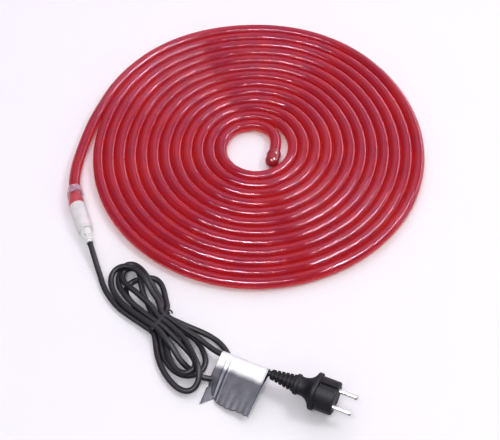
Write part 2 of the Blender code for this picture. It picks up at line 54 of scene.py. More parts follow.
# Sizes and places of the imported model's own pieces
ROPE_RADIUS = 0.00648
BARREL_START = 0.0254
BARREL_TOP = (-0.1884, -0.0815, 0.0095)
CONNECTOR_HEADING = radians(-71.2)
CAP = (0.0322, -0.0112, 0.0082)
CAP_HEADING = radians(-104.0)
LEAD_RADIUS = 0.0030
WAIST = (-0.0920, -0.2335)
WAIST_HEADING = radians(-36.0)
LABEL_MIDDLE = (-0.0026, -0.2890, 0.0149)
LABEL_HEADING = radians(-29.0)
LABEL_RISE = radians(8.0)
LABEL_WIDTH = 0.0540
LABEL_FLAP = [(-34.0, -304.0, 4.0), (-42.1, -308.5, 1.6), (-48.9, -326.8, 0.6), (-31.0, -319.0, 0.9)]
PLUG = (0.0232, -0.3038, 0.0195)
PLUG_HEADING = radians(-24.3)
PLUG_LENGTH = 0.0704
PIN_SPACING = 0.0190
PIN_LENGTH = 0.0190

# The rope's spiral: twelve turns and a bit, clockwise from the feed end inwards
SPIRAL_CENTRE = (0.0100, 0.0)
SPIRAL_START = radians(160.0)
SPIRAL_TURNS = 12.116
SPIRAL_OUTSIDE = 0.1936
TURN_PITCH = 0.0130
POINTS_IN_TURN = 36
ROPE_IN_BARREL = 0.0070
ROPE_IN_CAP = 0.0095

# The inner end's curl, from the innermost turn to the cap
CURL = [(0.0118, 0.0346, 0.0066), (0.0274, 0.0269, 0.0067), (0.0345, 0.0122, 0.0071)]

# How far the outermost turn strays outwards from an even spiral: degrees round the coil, and millimetres
OUTER_STRAY = [
    (0, -0.3), (16, -0.8), (30, 0.3), (45, 0.8), (62, 1.5), (76, 0.8), (88, -0.6), (98, -1.3), (110, 0.2),
    (120, 1.6), (130, 1.0), (144, -2.3), (156, -2.7), (185, -2.2), (208, -3.0), (218, -1.9), (228, -0.2),
    (244, 1.5), (258, 3.0), (268, 2.8), (284, 0.8), (298, 1.6), (312, 3.9), (322, 4.7), (334, 2.9),
    (346, 0.7),
]

# Centre line of the connector, which its sleeve bends, and of the rope between the coil and the sleeve
CONNECTOR_BEND = [(-0.1928, -0.0573, 0.0093), (-0.1915, -0.0660, 0.0094), (-0.1901, -0.0745, 0.0095)]
FEED_END = [
    (-0.1937, -0.0490, 0.0089), (-0.1938, -0.0400, 0.0082), (-0.1929, -0.0239, 0.0071),
    (-0.1902, -0.0067, 0.0066), (-0.1865, 0.0110, 0.0065), (-0.1822, 0.0288, 0.0065),
    (-0.1767, 0.0469, 0.0065),
]


# Shapes


def place_along(point, heading, rise=0.0):
    """Matrix that lays local +Z along a heading, with local +Y up and local +X to its left."""
    forward = Vector((cos(heading) * cos(rise), sin(heading) * cos(rise), sin(rise)))
    across = Vector((-sin(heading), cos(heading), 0.0))
    turn = Matrix((across, forward.cross(across), forward)).transposed().to_4x4()
    return Matrix.Translation(point) @ turn


def placed(points, matrix):
    """Points, in an array of any shape, moved by a matrix."""
    moved = np.array(matrix)
    return points @ moved[:3, :3].T + moved[:3, 3]


def ramp(values, start, end):
    """Straight step from 0 at start to 1 at end."""
    return np.clip((values - start) / (end - start), 0.0, 1.0)


def ease(values, start, end):
    """Smooth step from 0 at start to 1 at end: three times the ramp's square less twice its cube."""
    share = ramp(values, start, end)
    return share * share * (3.0 - 2.0 * share)


def squared(values, power):
    """Values raised to a power with their signs kept, which squares a circle's sine or cosine off."""
    return np.sign(values) * np.abs(values) ** power


def lengths_along(points):
    """Distance along a line of points, from its first point to each."""
    return np.concatenate([[0.0], np.cumsum(np.linalg.norm(np.diff(points, axis=0), axis=1))])


def between(rows, at, wanted):
    """Rows at wanted places, found straight between an array's own rows, which stand at the places 'at'."""
    return np.stack([np.interp(wanted, at, column) for column in rows.T], 1)


def blurred(values, passes):
    """Each row replaced by half of it and a quarter of each neighbour, the two ends kept."""
    for _ in range(passes):
        middle = 0.25 * values[:-2] + 0.5 * values[1:-1] + 0.25 * values[2:]
        values = np.vstack([values[:1], middle, values[-1:]])
    return values


def even_path(route, step):
    """Even points along the Catmull-Rom curve through a route's points, from sixteen points to a span."""
    route = np.asarray(route, float)
    ends = np.vstack([2 * route[0] - route[1], route, 2 * route[-1] - route[-2]])
    t = np.linspace(0.0, 1.0, num=16, endpoint=False)[None, :, None]
    before, start, end, after = (ends[k:len(ends) - 3 + k, None, :] for k in range(4))
    fine = 0.5 * (2 * start + (end - before) * t + (2 * before - 5 * start + 4 * end - after) * t ** 2
                  + (3 * start - before - 3 * end + after) * t ** 3)
    fine = np.vstack([fine.reshape(-1, 3), route[-1:]])
    length = lengths_along(fine)
    wanted = np.linspace(0.0, length[-1], int(np.ceil(length[-1] / step)) + 1)
    return between(fine, length, wanted)


def directions(path):
    """Unit direction, level side and upper side of a path at each point: the side is direction x up."""
    forward = np.gradient(path, axis=0)
    forward /= np.linalg.norm(forward, axis=1)[:, None]
    side = np.cross(forward, (0.0, 0.0, 1.0))
    side /= np.linalg.norm(side, axis=1)[:, None]
    return forward, side, np.cross(side, forward)


def tube_rings(path, radius, sides):
    """A ring at each point of a path: the point plus radius x (cosine x side + sine x upper side)."""
    forward, side, upper = directions(path)
    angle = (np.arange(sides) * tau / sides)[None, :, None]
    radius = np.broadcast_to(radius, len(path))[:, None, None]
    return path[:, None] + radius * (np.cos(angle) * side[:, None] + np.sin(angle) * upper[:, None])


def profile(corners, step):
    """A profile's (radius, height) corners with even points between them, no further apart than a step."""
    corners = np.asarray(corners, float)
    spans = np.maximum(1, np.ceil(np.linalg.norm(np.diff(corners, axis=0), axis=1) / step)).astype(int)
    share = np.concatenate([np.arange(count) / count + k for k, count in enumerate(spans)] + [[len(spans)]])
    return between(corners, np.arange(len(corners)), share)


def round_grid(corners, step, sides, relief):
    """Radius, height and angle round a profile: its radius plus relief(height, angle, radius), from 0 up."""
    outline = profile(corners, step)
    angle = (np.arange(sides) * tau / sides)[None]
    height = outline[:, 1:] + 0.0 * angle
    radius = outline[:, :1] + 0.0 * angle
    if relief is not None:
        radius = np.maximum(0.0, radius + relief(height, angle, radius))
    return radius, height, angle


def bent_rings(corners, step, sides, path, relief=None):
    """Rings like turned ones, but about a path: a profile's height is the distance along the path."""
    radius, height, angle = round_grid(corners, step, sides, relief)
    length = lengths_along(path)
    frames = (path, *directions(path))
    centre, _, side, upper = (between(rows, length, height[:, 0])[:, None] for rows in frames)
    return centre + (radius * np.cos(angle))[..., None] * upper - (radius * np.sin(angle))[..., None] * side


def turned_rings(corners, step, sides, matrix, relief=None):
    """Rings about local +Z: (radius x sine, radius x cosine, height), with the angle counted from the top."""
    radius, height, angle = round_grid(corners, step, sides, relief)
    return placed(np.stack([radius * np.sin(angle), radius * np.cos(angle), height], -1), matrix)


def rings_piece(name, rings, finish, closed=False, crease=38.0, lay=None):
    """Mesh of a grid of rings, its ends shut by a pole at each end ring's middle, its faces turned outwards.

    The map 'lay' holds the distance along the rings and the share of the way round, in that order.
    """
    rows, columns = rings.shape[:2]
    row = np.arange(rows if closed else rows - 1)[:, None]
    column = np.arange(columns)[None]
    after, beside = (row + 1) % rows, (column + 1) % columns
    quads = np.stack([row * columns + column, after * columns + column,
                      after * columns + beside, row * columns + beside], -1).reshape(-1, 4)
    if lay is None:
        lay = lengths_along(rings.mean(1)) if not closed else lengths_along(rings[:, 0])
    lay = np.append(lay, lay[-1])
    across = (column + np.zeros_like(row)) / columns
    step = 1.0 / columns
    quad_map = np.stack([np.stack([lay[row + down] + 0 * across, across + over * step], -1)
                         for down, over in ((0, 0), (1, 0), (1, 1), (0, 1))], 2)
    points = rings.reshape(-1, 3)
    faces = quads.tolist()
    maps = [quad_map.reshape(-1, 2)]
    corners = np.concatenate([quads[:, :3], quads[:, [0, 2, 3]]])
    if not closed:
        points = np.vstack([points, rings[0].mean(0), rings[-1].mean(0)])
        ring = np.arange(columns)
        following = (ring + 1) % columns
        first = np.stack([ring, following, np.full(columns, rows * columns)], 1)
        last_row = (rows - 1) * columns
        last = np.stack([last_row + following, last_row + ring, np.full(columns, rows * columns + 1)], 1)
        faces += first.tolist() + last.tolist()
        share = ring / columns
        shares = np.stack([share, share + step, share], 1)
        maps += [np.stack([np.full((columns, 3), lay[end]), shares], -1).reshape(-1, 2)
                 for end in (0, rows - 1)]
        corners = np.concatenate([corners, first, last])
    a, b, c = (points[corners[:, k]] for k in range(3))
    # The triangles' signed volume is below zero where the faces look inwards
    inside_out = np.einsum("ij,ij->", a - points[0], np.cross(b - points[0], c - points[0])) < 0.0

    mesh = bpy.data.meshes.new(name)
    mesh.from_pydata(points.tolist(), [], faces)
    mesh.uv_layers.new(name="lay").data.foreach_set("uv", np.concatenate(maps).ravel())
    if inside_out:
        mesh.flip_normals()
    return finished(name, mesh, finish, crease)


def finished(name, mesh, finish, crease=38.0):
    """Object at the origin from a mesh, smooth up to a crease angle, with its finish, riding on the model."""
    mesh.update()
    mesh.shade_smooth()
    mesh.set_sharp_from_angle(angle=radians(crease))
    mesh.materials.append(finish)
    item = bpy.data.objects.new(name, mesh)
    bpy.context.scene.collection.objects.link(item)
    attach(item, "root")
    return item


# Finishes


class Wire:
    """A socket of a finish. Arithmetic on it, with a number or a wire on either side, adds Math nodes."""

    def __init__(self, finish, socket):
        self.finish, self.socket = finish, socket

    def maths(self, operation, *values):
        return self.finish.node("ShaderNodeMath", {"operation": operation}, dict(enumerate(values)))

    def __add__(self, other):
        return self.maths("ADD", self, other)

    def __sub__(self, other):
        return self.maths("SUBTRACT", self, other)

    def __rsub__(self, other):
        return self.maths("SUBTRACT", other, self)

    def __mul__(self, other):
        return self.maths("MULTIPLY", self, other)

    __radd__ = __add__
    __rmul__ = __mul__

    def away(self, value):
        """How far the wire is from a value."""
        return self.maths("ABSOLUTE", self - value)

    def sine(self):
        return self.maths("SINE", self)

    def wave(self, pitch):
        """Sine of the wire with a pitch, from 0 to 1."""
        return (self * (tau / pitch)).sine() * 0.5 + 0.5

    def eased(self, start, end):
        """Smooth step of the wire from 0 at start to 1 at end."""
        return self.finish.node("ShaderNodeMapRange", {"interpolation_type": "SMOOTHSTEP"},
                                dict(enumerate((self, start, end, 0.0, 1.0))))


class Finish:
    """One material and the Principled shader that its nodes feed."""

    def __init__(self, name, **constants):
        self.material = bpy.data.materials.new(name)
        self.material.use_nodes = True
        self.shader = self.material.node_tree.nodes["Principled BSDF"]
        for socket, value in constants.items():
            self.shader.inputs[socket.replace("_", " ")].default_value = value

    def node(self, kind, settings=None, sockets=None, output=0):
        """Add a node: its settings first, then the values or links of its sockets. Gives one output."""
        added = self.material.node_tree.nodes.new(kind)
        for setting, value in (settings or {}).items():
            setattr(added, setting, value)
        for socket, value in (sockets or {}).items():
            self.join(added.inputs[socket], value)
        return Wire(self, added.outputs[output])

    def join(self, socket, value):
        if isinstance(value, Wire):
            self.material.node_tree.links.new(value.socket, socket)
        else:
            socket.default_value = value

    def feed(self, **wires):
        """Link wires to the shader's sockets, named with underscores."""
        for socket, value in wires.items():
            self.join(self.shader.inputs[socket.replace("_", " ")], value)

    def place(self, stretch=(1.0, 1.0, 1.0), turn=(0.0, 0.0, 0.0)):
        """Object coordinates, turned and stretched by a Mapping node."""
        where = self.node("ShaderNodeTexCoord", output="Object")
        sockets = {"Vector": where, "Rotation": turn, "Scale": stretch}
        return self.node("ShaderNodeMapping", {"vector_type": "POINT"}, sockets)

    def lay(self):
        """The piece's own map: distance along it in metres, and share of the way round."""
        where = self.node("ShaderNodeUVMap", {"uv_map": "lay"})
        along = self.node("ShaderNodeSeparateXYZ", None, {"Vector": where}, output="X")
        return along, Wire(self, along.socket.node.outputs["Y"])

    def noise(self, scale, detail=2.0, roughness=0.5, where=None):
        sockets = {"Vector": where or self.place(), "Scale": scale, "Detail": detail, "Roughness": roughness}
        return self.node("ShaderNodeTexNoise", None, sockets)

    def colour(self, factor, low, high):
        """Colour between two others, which may be wires. A Mix node's colours are its sockets 6 and 7."""
        ends = [end if isinstance(end, Wire) else (*end, 1.0) for end in (low, high)]
        sockets = {0: factor, 6: ends[0], 7: ends[1]}
        return self.node("ShaderNodeMix", {"data_type": "RGBA"}, sockets, output=2)

    def bump(self, height, distance, strength=1.0):
        sockets = {"Strength": strength, "Distance": distance, "Height": height}
        return self.node("ShaderNodeBump", None, sockets)


def red_rope_pvc():
    """Glossy translucent red PVC: cloudy dye, fine cross ribs, and a painted red glow in place of light let
    through.
    """
    f = Finish("red_rope_pvc", IOR=1.46, Specular_Tint=(1.0, 0.56, 0.78, 1.0), Emission_Strength=1.0,
               Subsurface_Weight=0.75, Subsurface_Radius=(1.0, 0.05, 0.06), Subsurface_Scale=0.010)
    along, around = f.lay()
    cloud = f.noise(scale=34.0, detail=3.0, roughness=0.55)
    patch = cloud.eased(0.36, 0.64)
    f.feed(Base_Color=f.colour(patch, (0.30, 0.003, 0.013), (0.36, 0.005, 0.007)))
    # Painted glow: red emission, faint on top and strongest on the sides and underside, stands in for light
    # let through
    painted_glow = around.away(0.25).eased(0.08, 0.26)
    f.feed(Emission_Color=f.colour(painted_glow, (0.030, 0.001, 0.004), (0.180, 0.009, 0.006)))
    f.feed(Roughness=0.06 + cloud * 0.04)
    f.feed(Normal=f.bump(along.wave(pitch=0.0021), distance=0.00009))
    return f.material


def red_cap_pvc():
    """Moulded end cap: clear red, glossy, with faint flow marks."""
    f = Finish("red_cap_pvc", IOR=1.40, Coat_Weight=0.1, Coat_Roughness=0.06,
               Subsurface_Weight=0.15, Subsurface_Radius=(1.0, 0.15, 0.18), Subsurface_Scale=0.004)
    flow = f.noise(scale=160.0, detail=3.0, roughness=0.6, where=f.place((1.0, 1.0, 2.2)))
    f.feed(Base_Color=f.colour(flow, (0.27, 0.003, 0.013), (0.36, 0.007, 0.020)))
    f.feed(Roughness=0.2 + flow * 0.15)
    f.feed(Normal=f.bump(flow + f.noise(scale=700.0, detail=1.0) * 0.3, distance=0.00012))
    return f.material


def clear_shrink_sleeve():
    """Clear shrink tube: hazy and crazed where it grips the rope, up to a slanting line, then clear; its
    white specks are partly painted glints.
    """
    f = Finish("clear_shrink_sleeve", IOR=1.46, Coat_Weight=0.6, Coat_Roughness=0.05)
    along, around = f.lay()
    wrinkle = f.noise(scale=230.0, detail=4.0, roughness=0.65)
    craze = f.noise(scale=620.0, detail=3.0, roughness=0.7)
    slant = (around * tau + 0.6).sine() * 0.0022
    haze = (along + slant + wrinkle * 0.005).eased(0.0150, 0.0120)
    # White specks where the sleeve is crazed, partly painted glints of light on its wrinkles
    crazing_and_painted_glints = craze.eased(0.57, 0.64)
    f.feed(Base_Color=f.colour(crazing_and_painted_glints, (0.62, 0.36, 0.50), (0.98, 0.96, 0.99)))
    f.feed(Alpha=0.05 + haze * (0.34 + crazing_and_painted_glints * 0.5) + crazing_and_painted_glints * 0.06)
    f.feed(Roughness=0.08 + wrinkle * 0.16 + haze * 0.2)
    f.feed(Normal=f.bump(wrinkle + craze * 0.2, distance=0.0009, strength=0.8))
    return f.material


def white_connector_plastic():
    """White moulded plastic: soft sheen, faint mould flow, and fine dust."""
    f = Finish("white_connector_plastic", IOR=1.5, Subsurface_Weight=0.1, Subsurface_Radius=(1.0, 0.9, 0.8),
               Subsurface_Scale=0.001)
    flow = f.noise(scale=110.0, detail=3.0, roughness=0.6)
    dust = f.noise(scale=900.0, detail=2.0, roughness=0.7)
    f.feed(Base_Color=f.colour(flow.eased(0.3, 0.75), (0.80, 0.81, 0.78), (0.72, 0.73, 0.70)))
    f.feed(Roughness=0.36 + dust * 0.16)
    f.feed(Normal=f.bump(dust, distance=0.00004))
    return f.material


def black_lead_sheath():
    """Black rubbery sheath: satin, slightly dusty, with faint marks along its length."""
    f = Finish("black_lead_sheath", IOR=1.30)
    along, _ = f.lay()
    dust = f.noise(scale=420.0, detail=4.0, roughness=0.65)
    scuff = f.noise(scale=65.0, detail=3.0, roughness=0.6)
    f.feed(Base_Color=f.colour(dust * scuff * 1.6, (0.003, 0.002, 0.005), (0.016, 0.014, 0.021)))
    f.feed(Roughness=0.38 + scuff * 0.18 + dust * 0.06)
    f.feed(Normal=f.bump(dust + along.wave(pitch=0.0017) * 0.12, distance=0.00006))
    return f.material


def black_tie_plastic():
    """Plastic-coated tie wire: dull black, with scattered nicks."""
    f = Finish("black_tie_plastic", IOR=1.25)
    nick = f.noise(scale=800.0, detail=3.0, roughness=0.7)
    f.feed(Base_Color=f.colour(nick.eased(0.55, 0.85), (0.003, 0.003, 0.004), (0.02, 0.02, 0.022)))
    f.feed(Roughness=0.45 + nick * 0.3)
    f.feed(Normal=f.bump(nick, distance=0.00008))
    return f.material


def silver_label_foil():
    """Blank foil film: a bright strip by the lead, fading into a grey field, brushed and lightly creased."""
    f = Finish("silver_label_foil", Metallic=0.35, IOR=1.3)
    along, around = f.lay()
    brushing = f.place((1.0, 12.0, 1.0), (0.0, 0.0, -LABEL_HEADING))
    brushed = f.noise(scale=60.0, detail=3.0, roughness=0.6, where=brushing)
    crease = f.noise(scale=60.0, detail=3.0, roughness=0.55)
    touch = f.noise(scale=30.0, detail=3.0, roughness=0.6)
    edge = along + touch * 0.05
    strip = edge.eased(0.315, 0.390) * along.eased(0.56, 0.54)
    rim = around.eased(0.955, 0.975)
    field = f.colour(touch.eased(0.3, 0.7), (0.055, 0.055, 0.070), (0.105, 0.105, 0.125))
    f.feed(Base_Color=f.colour(rim * 0.5, f.colour(strip, field, (0.62, 0.62, 0.64)), (0.04, 0.05, 0.06)))
    f.feed(Roughness=0.40 + touch * 0.12 + brushed * 0.14)
    f.feed(Normal=f.bump(crease + brushed * 0.2, distance=0.0005, strength=0.6))
    return f.material


def black_plug_rubber():
    """Moulded plug rubber: matt, faintly grained, dusty in patches."""
    f = Finish("black_plug_rubber", IOR=1.23)
    grain = f.noise(scale=1100.0, detail=2.0, roughness=0.6)
    dust = f.noise(scale=85.0, detail=4.0, roughness=0.65)
    f.feed(Base_Color=f.colour(dust.eased(0.3, 0.8), (0.003, 0.003, 0.006), (0.012, 0.011, 0.017)))
    f.feed(Roughness=0.46 + grain * 0.12 + dust * 0.08)
    f.feed(Normal=f.bump(grain + dust * 0.6, distance=0.00005))
    return f.material


def plated_pins():
    """Bright nickel plating with fine turning marks, darker towards the tips."""
    f = Finish("plated_pins", Metallic=1.0)
    along, _ = f.lay()
    marks = f.noise(scale=300.0, detail=2.0, roughness=0.6, where=f.place((1.0, 1.0, 6.0)))
    # The plating's colour darkens towards the tips
    darker_tip = along.eased(0.0215, 0.0235)
    plating = f.colour(marks, (0.64, 0.63, 0.62), (0.50, 0.49, 0.48))
    f.feed(Base_Color=f.colour(darker_tip * 0.7, plating, (0.12, 0.11, 0.10)))
    f.feed(Roughness=0.14 + marks * 0.12 + darker_tip * 0.2)
    f.feed(Normal=f.bump(along.wave(pitch=0.0004) + marks, distance=0.00002))
    return f.material


def studio_floor():
    """Plain pale paper with a very faint tooth."""
    f = Finish("studio_floor", Base_Color=(0.92, 0.92, 0.93, 1.0), Roughness=0.7, IOR=1.3)
    f.feed(Normal=f.bump(f.noise(scale=300.0, detail=2.0), distance=0.0001))
    return f.material


# Camera and light


def make_camera():
    """Camera at the photograph's angle, above the near side of the coil."""
    lens = bpy.data.cameras.new("camera")
    lens.lens = FOCAL_LENGTH
    lens.sensor_width = SENSOR_WIDTH
    lens.clip_end = 20.0
    camera = bpy.data.objects.new("camera", lens)
    turn = Matrix.Rotation(CAMERA_TILT, 4, "X") @ Matrix.Rotation(CAMERA_ROLL, 4, "Z")
    camera.matrix_world = Matrix.Translation(CAMERA_PLACE) @ turn
    bpy.context.scene.collection.objects.link(camera)
    bpy.context.scene.camera = camera


def soft_light(name, direction, distance, size, power, colour, in_gloss=True, in_body=True):
    """Flat lamp at a distance in a direction, facing the lit point, for gloss, body colour or both."""
    lamp = bpy.data.lights.new(name, "AREA")
    lamp.shape = "RECTANGLE"
    lamp.size, lamp.size_y = size
    lamp.energy = power
    lamp.color = colour
    item = bpy.data.objects.new(name, lamp)
    away = Vector(direction).normalized()
    turn = away.to_track_quat("Z", "Y").to_matrix().to_4x4()
    item.matrix_world = Matrix.Translation(away * distance + LIT_POINT) @ turn
    item.visible_glossy = in_gloss
    item.visible_diffuse = in_body
    bpy.context.scene.collection.objects.link(item)


def make_light():
    """A soft panel behind, two lamps with a long narrow glint lamp each, a low strip, and a pale room."""
    behind, right = (0.06, 0.62, 0.78), (0.58, 0.01, 0.81)
    near, low = (-0.18, -0.45, 0.88), (0.78, 0.59, 0.22)
    soft_light("panel_behind", behind, distance=2.4, size=(2.4, 2.4), power=22.0, colour=(0.96, 0.80, 1.0))
    for name, direction in (("lamp_right", right), ("lamp_near", near)):
        soft_light(name, direction, distance=2.2, size=(0.40, 0.40), power=8.0, colour=WHITE, in_gloss=False)
    for name, direction, power in (("glint_right", right, 125.0), ("glint_near", near, 105.0)):
        soft_light(name, direction, distance=2.15, size=(0.90, 0.06), power=power, colour=WHITE,
                   in_body=False)
    soft_light("strip_low", low, distance=2.4, size=(3.0, 0.36), power=34.0, colour=(1.0, 0.84, 1.0),
               in_body=False)
    room = bpy.data.worlds.new("room")
    room.use_nodes = True
    background = room.node_tree.nodes["Background"]
    background.inputs["Color"].default_value = (0.97, 0.945, 1.0, 1.0)
    background.inputs["Strength"].default_value = 0.57
    bpy.context.scene.world = room
    bpy.context.scene.view_settings.view_transform = "Standard"


# Rope

# Profile of the end cap's mouth and rim: (radius, distance from the cap's place) in metres, then its dome
CAP_MOUTH = [
    (0.0, 0.0098), (0.0067, 0.0098), (0.0067, -0.0040), (0.0071, -0.0040), (0.0075, -0.0030),
    (0.0082, 0.0003), (0.0082, 0.0020), (0.0079, 0.0024),
]
DOME_RADIUS = 0.0080
DOME_BASE = 0.0090


def rope_route():
    """Centre line from the connector: feed end, spiral, then the curl into the cap.

    The spiral's radius is its outside less the pitch times the turns, plus the outer turn's stray, which
    fades evenly to nothing at the twelfth turn, plus a sway of two sines, which fades from the sixth turn
    inwards, plus a slight slack of one sine.
    """
    feed_end = np.vstack([along_connector(BARREL_START + ROPE_IN_BARREL), CONNECTOR_BEND[::-1], FEED_END])
    turn = np.linspace(0.0, SPIRAL_TURNS, int(SPIRAL_TURNS * POINTS_IN_TURN))
    angle = SPIRAL_START - tau * turn
    degrees, millimetres = np.transpose(OUTER_STRAY)
    stray = np.interp(np.degrees(angle), degrees, millimetres, period=360.0)[:, None] / 1000
    stray = blurred(stray, passes=3)[:, 0] * ramp(turn, 12.0, 0.0)
    sway = 0.0009 * np.sin(2 * angle + 0.6) + 0.0005 * np.sin(5 * angle + 2.0)
    sway *= ease(turn, 0.0, 0.4) * ease(turn, 12.2, 6.0)
    slack = 0.00008 * np.sin(3 * angle + 5.3 * turn)
    radius = SPIRAL_OUTSIDE - TURN_PITCH * turn + stray + sway + slack
    level = ROPE_RADIUS + 0.00010 + 0.00010 * np.sin(2 * angle + 7.7 * turn)
    spiral = np.stack([SPIRAL_CENTRE[0] + radius * np.cos(angle), SPIRAL_CENTRE[1] + radius * np.sin(angle),
                       level], 1)
    cap_heading = np.array([cos(CAP_HEADING), sin(CAP_HEADING), 0.0])
    return np.vstack([feed_end, spiral, CURL, CAP, np.array(CAP) + cap_heading * ROPE_IN_CAP])


def along_connector(distance):
    """Point on the connector's own axis, at a distance from its sleeve's mouth."""
    heading = np.array([cos(CONNECTOR_HEADING), sin(CONNECTOR_HEADING), 0.0])
    return np.array(BARREL_TOP) + heading * (distance - BARREL_START)


def make_rope(red):
    """The rope as one tube from the connector to its cap, with the cap pushed over its inner end."""
    path = even_path(rope_route(), step=0.0037)
    rings = tube_rings(path, ROPE_RADIUS, sides=28)
    rope = rings_piece("rope", rings, red, lay=lengths_along(path))
    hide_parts("rope_light")
    cap = make_cap()


def make_cap():
    """Moulded cap: a mouth, a thick rim, and a dome, which is a quarter circle turned round."""
    dome = [(DOME_RADIUS * cos(a), DOME_BASE + DOME_RADIUS * sin(a)) for a in np.linspace(0.0, pi / 2, 9)]
    outline = CAP_MOUTH + dome[:-1] + [(0.0, DOME_BASE + DOME_RADIUS)]
    rings = turned_rings(outline, step=0.0012, sides=40, matrix=place_along(CAP, CAP_HEADING))
    cap = rings_piece("rope_cap", rings, red_cap_pvc(), crease=50.0)
    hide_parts("end_cap")
    return cap


# Lead

# Routes of the lead in millimetres, in the order that it runs from the connector to the plug
FROM_CONNECTOR = [
    (-170.4, -133.8, 9.5), (-166.6, -146.0, 8.3), (-161.9, -160.0, 5.2), (-157.2, -173.0, 3.3),
    (-153.0, -186.8, 3.0), (-144.1, -202.3, 3.0), (-134.2, -214.6, 3.6), (-128.8, -219.5, 4.0),
    (-112.0, -232.0, 4.3),
]
LOWER_LONG_LOOP = [
    (-95.0, -250.5, 3.6), (-93.4, -258.8, 3.0), (-92.2, -268.0, 3.0), (-89.5, -279.5, 3.0),
    (-84.9, -290.9, 3.0), (-78.3, -302.2, 3.0), (-71.0, -310.4, 3.0), (-63.6, -315.3, 3.0),
    (-56.2, -315.3, 3.8), (-51.0, -310.2, 6.0), (-49.0, -302.3, 11.0), (-50.8, -292.4, 13.0),
    (-55.2, -280.5, 10.0), (-60.4, -268.1, 8.0), (-66.2, -256.1, 8.0), (-73.2, -248.6, 8.5),
]
UPPER_SHORT_LOOP = [
    (-100.0, -216.2, 9.0), (-108.6, -207.8, 9.0), (-115.4, -200.3, 9.0), (-122.4, -193.2, 9.0),
    (-129.3, -186.6, 7.0), (-133.6, -178.2, 5.0), (-133.4, -169.4, 4.0), (-127.6, -163.6, 4.0),
    (-119.4, -163.6, 4.0), (-114.2, -169.6, 5.0), (-112.9, -178.5, 8.0), (-112.0, -186.2, 7.0),
    (-110.6, -193.6, 5.0), (-107.3, -203.3, 4.0), (-104.4, -209.1, 4.0),
]
LOWER_SHORT_LOOP = [
    (-83.5, -264.4, 4.0), (-82.6, -273.3, 4.0), (-79.6, -281.7, 4.0), (-75.6, -288.9, 4.0),
    (-70.0, -295.4, 5.0), (-61.8, -298.2, 7.0), (-53.8, -294.2, 8.6), (-52.3, -285.6, 8.6),
    (-55.4, -277.2, 7.0), (-60.2, -270.2, 6.0), (-66.2, -263.0, 7.0),
]
UPPER_LONG_LOOP = [
    (-121.9, -210.7, 8.0), (-129.0, -201.8, 8.6), (-134.4, -193.3, 7.0), (-137.8, -183.6, 4.0),
    (-138.2, -175.1, 3.0), (-136.8, -167.6, 3.0), (-133.9, -161.0, 3.0), (-128.6, -157.2, 3.0),
    (-121.6, -158.8, 3.0), (-117.0, -163.6, 3.5), (-113.2, -169.8, 5.5), (-108.8, -177.3, 8.6),
    (-103.6, -185.2, 7.0), (-97.9, -194.3, 5.0), (-91.7, -204.7, 4.5), (-88.6, -213.4, 4.3),
]
LOWER_WIDE_LOOP = [
    (-74.1, -239.4, 4.3), (-62.5, -245.8, 3.5), (-52.7, -253.4, 3.0), (-47.3, -263.4, 3.0),
    (-43.8, -270.8, 3.0), (-42.7, -279.1, 3.0), (-44.4, -286.8, 3.0), (-48.9, -292.1, 3.0),
    (-58.2, -294.9, 3.0), (-63.7, -295.3, 3.0), (-70.9, -292.3, 3.0), (-78.7, -285.0, 3.0),
    (-84.5, -276.1, 3.0), (-87.8, -266.3, 3.0),
]
UPPER_RIGHT_LOOP = [
    (-112.9, -217.4, 4.3), (-120.8, -208.4, 3.0), (-127.2, -199.8, 3.0), (-130.6, -191.8, 3.0),
    (-128.6, -184.6, 3.0), (-123.5, -179.8, 3.0), (-117.9, -177.0, 3.0), (-112.6, -175.6, 3.0),
    (-107.0, -174.9, 3.0), (-101.8, -174.4, 3.0), (-96.8, -176.8, 3.0), (-92.2, -183.4, 3.0),
    (-89.4, -193.2, 3.0), (-87.8, -204.6, 3.3), (-84.6, -215.0, 4.0),
]
OUTER_LOOP = [
    (-69.0, -234.2, 4.3), (-62.4, -237.5, 4.0), (-43.3, -246.4, 3.0), (-29.4, -256.8, 3.0),
    (-20.5, -269.8, 3.0), (-17.8, -281.5, 3.0), (-20.3, -292.5, 3.0), (-27.0, -299.2, 3.0),
    (-39.2, -299.9, 3.0), (-47.8, -300.6, 7.0), (-53.5, -296.6, 8.6), (-60.3, -289.2, 4.0),
    (-67.4, -281.6, 3.5), (-73.0, -273.7, 4.5), (-77.3, -266.0, 6.5), (-84.0, -257.5, 8.6),
]
UPPER_LEFT_LOOP = [
    (-130.0, -212.4, 6.0), (-137.8, -201.8, 3.5), (-143.3, -191.9, 3.0), (-146.1, -180.9, 3.0),
    (-144.8, -170.5, 3.5), (-139.5, -166.3, 6.0), (-133.7, -165.3, 9.0), (-127.7, -165.9, 9.2),
    (-121.7, -168.9, 9.5), (-115.0, -175.1, 11.5), (-108.6, -184.5, 13.8), (-104.5, -191.1, 12.0),
    (-100.8, -199.6, 10.0), (-93.1, -210.1, 9.0),
]
TO_PLUG = [
    (-64.0, -246.0, 9.5), (-52.0, -254.5, 9.6), (-41.0, -264.2, 9.8), (-32.0, -272.7, 11.0),
    (-20.5, -279.0, 12.5), (-11.3, -284.2, 13.7), (-1.8, -289.4, 15.0), (8.5, -295.0, 16.6),
    (17.9, -300.2, 18.1), (21.4, -303.0, 19.5), (28.4, -306.2, 19.5),
]

# Shares of a push between two strands that go along X, Y and Z
PUSH_SHARES = (0.35, 0.35, 1.0)

# The strands' levels where they pass the tie, and how far the pass reaches each way, in millimetres
TIE_LEVELS = {"lower": 4.3, "upper": 8.9}
TIE_REACH = 5.0

# The tie's two bent ends, from the waist's right side outwards, in millimetres
TIE_ENDS = [[(-86.4, -226.4, 12.3), (-84.7, -223.9, 11.8), (-82.9, -221.9, 11.2), (-80.6, -221.3, 10.4),
             (-79.0, -222.6, 9.8), (-78.4, -225.0, 9.2)],
            [(-85.2, -227.9, 12.0), (-83.4, -228.2, 11.4), (-81.7, -229.1, 10.8), (-80.3, -230.4, 10.2)]]


